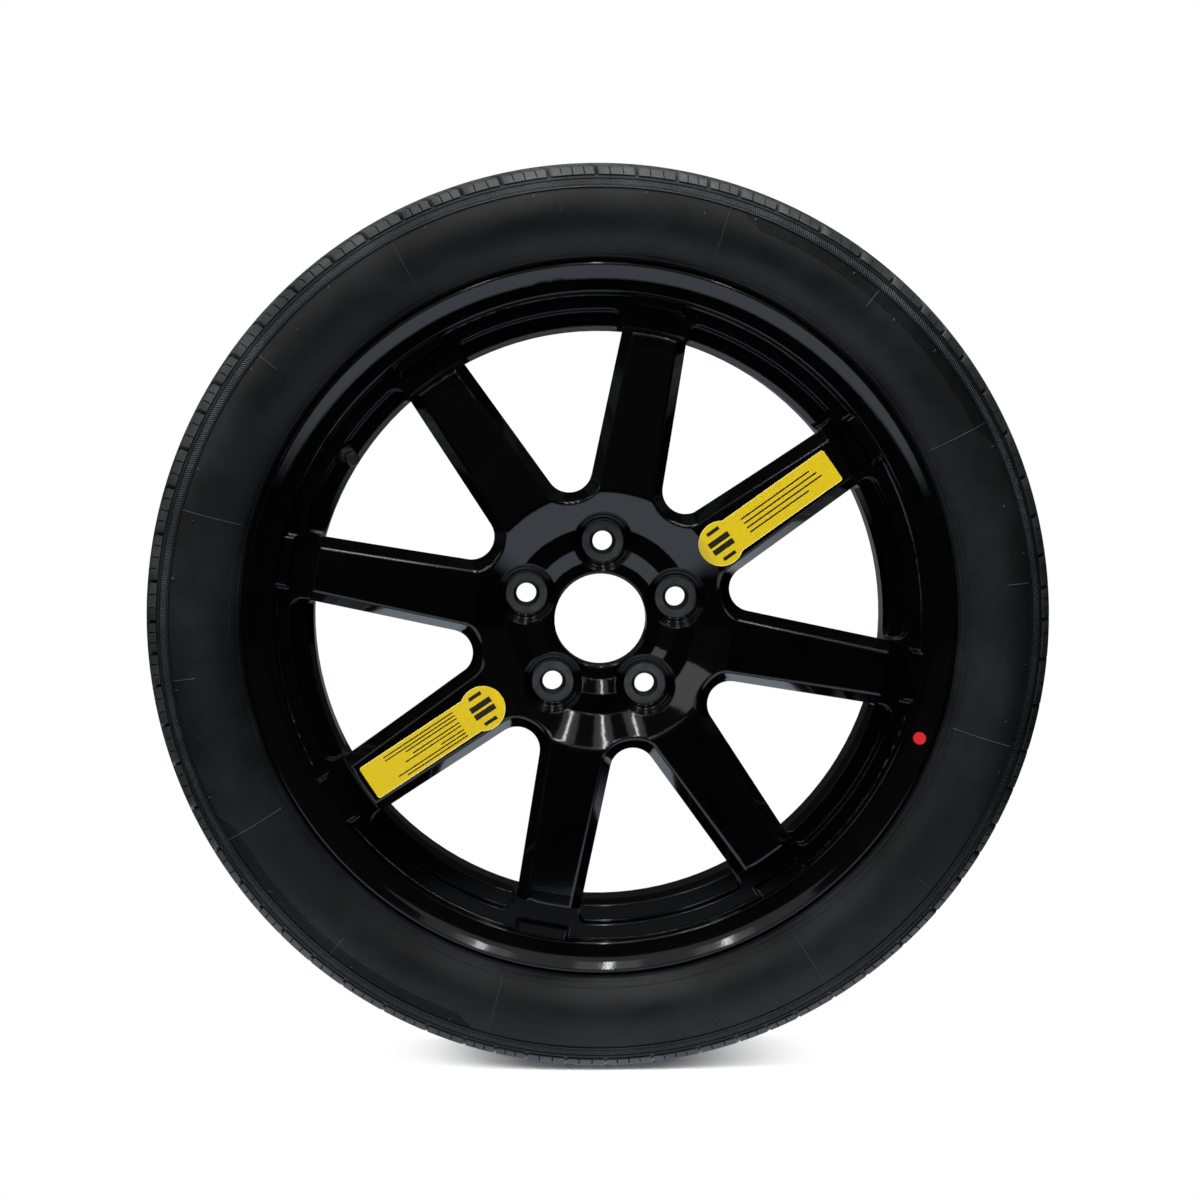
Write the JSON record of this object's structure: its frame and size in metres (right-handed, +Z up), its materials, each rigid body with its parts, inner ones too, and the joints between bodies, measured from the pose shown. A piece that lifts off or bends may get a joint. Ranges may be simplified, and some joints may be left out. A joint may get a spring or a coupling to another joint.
{
  "type": "spare wheel",
  "caption": "Temporary-use spare car wheel: gloss black spoked alloy rim with a dished hub, steel lug seats, screw-capped valve, yellow labels and a narrow treaded tyre.",
  "frame": {"origin": "centre of the wheel, on its axis, midway between the two rim flanges", "axes": "+Z up as the wheel stands, +Y along the wheel's axis towards the car, outer face towards -Y"},
  "size_m": [0.666, 0.1533, 0.664],
  "materials": {
    "rim_paint": "gloss black paint on cast aluminium",
    "tyre": "moulded, satin",
    "seat_steel": "turned, satin grey",
    "valve_rubber": "matte",
    "valve_brass": "turned",
    "spring_wire": "drawn wire",
    "seal_rubber": "matte",
    "cap_plastic": "matte",
    "label_film": "printed film",
    "dot_paint": "paint spot"
  },
  "bodies": {
    "wheel": {"rim": "rim_paint", "tyre": "tyre", "lug_seat_1": "seat_steel", "lug_seat_2": "seat_steel", "lug_seat_3": "seat_steel", "lug_seat_4": "seat_steel", "lug_seat_5": "seat_steel", "valve_body": "valve_rubber", "valve_stem": "valve_brass", "valve_core_barrel": "valve_brass", "valve_core_gasket": "seal_rubber", "valve_core_spring": "spring_wire", "label_right": "label_film", "label_left": "label_film", "match_dot": "dot_paint"},
    "core_pin": {"valve_core_pin": "valve_brass", "valve_core_seal": "seal_rubber"},
    "cap_liner": {"valve_cap_seal": "seal_rubber"},
    "cap": {"valve_cap": "cap_plastic"}
  },
  "joints": [
    {"name": "pin_press", "type": "slide", "parent": "wheel", "child": "core_pin", "axis": [-0.2309, 0.9613, 0.1505], "range_m": [0, 0.0012], "stiffness_N_per_m": 1500, "springref_m": -0.001, "deforming": ["valve_core_spring"]},
    {"name": "cap_lift", "type": "slide", "parent": "wheel", "child": "cap_liner", "axis": [0.2309, -0.9613, -0.1505], "range_m": [0, 0.00953]},
    {"name": "cap_turn", "type": "hinge", "parent": "cap_liner", "child": "cap", "pos_m": [-0.18765, -0.0262, 0.12233], "axis": [0.2309, -0.9613, -0.1505], "range_deg": [0, 4320]}
  ],
  "couplings": [
    {"joint": "cap_turn", "follows": "cap_lift", "rad_per_m": 7913.3}
  ]
}
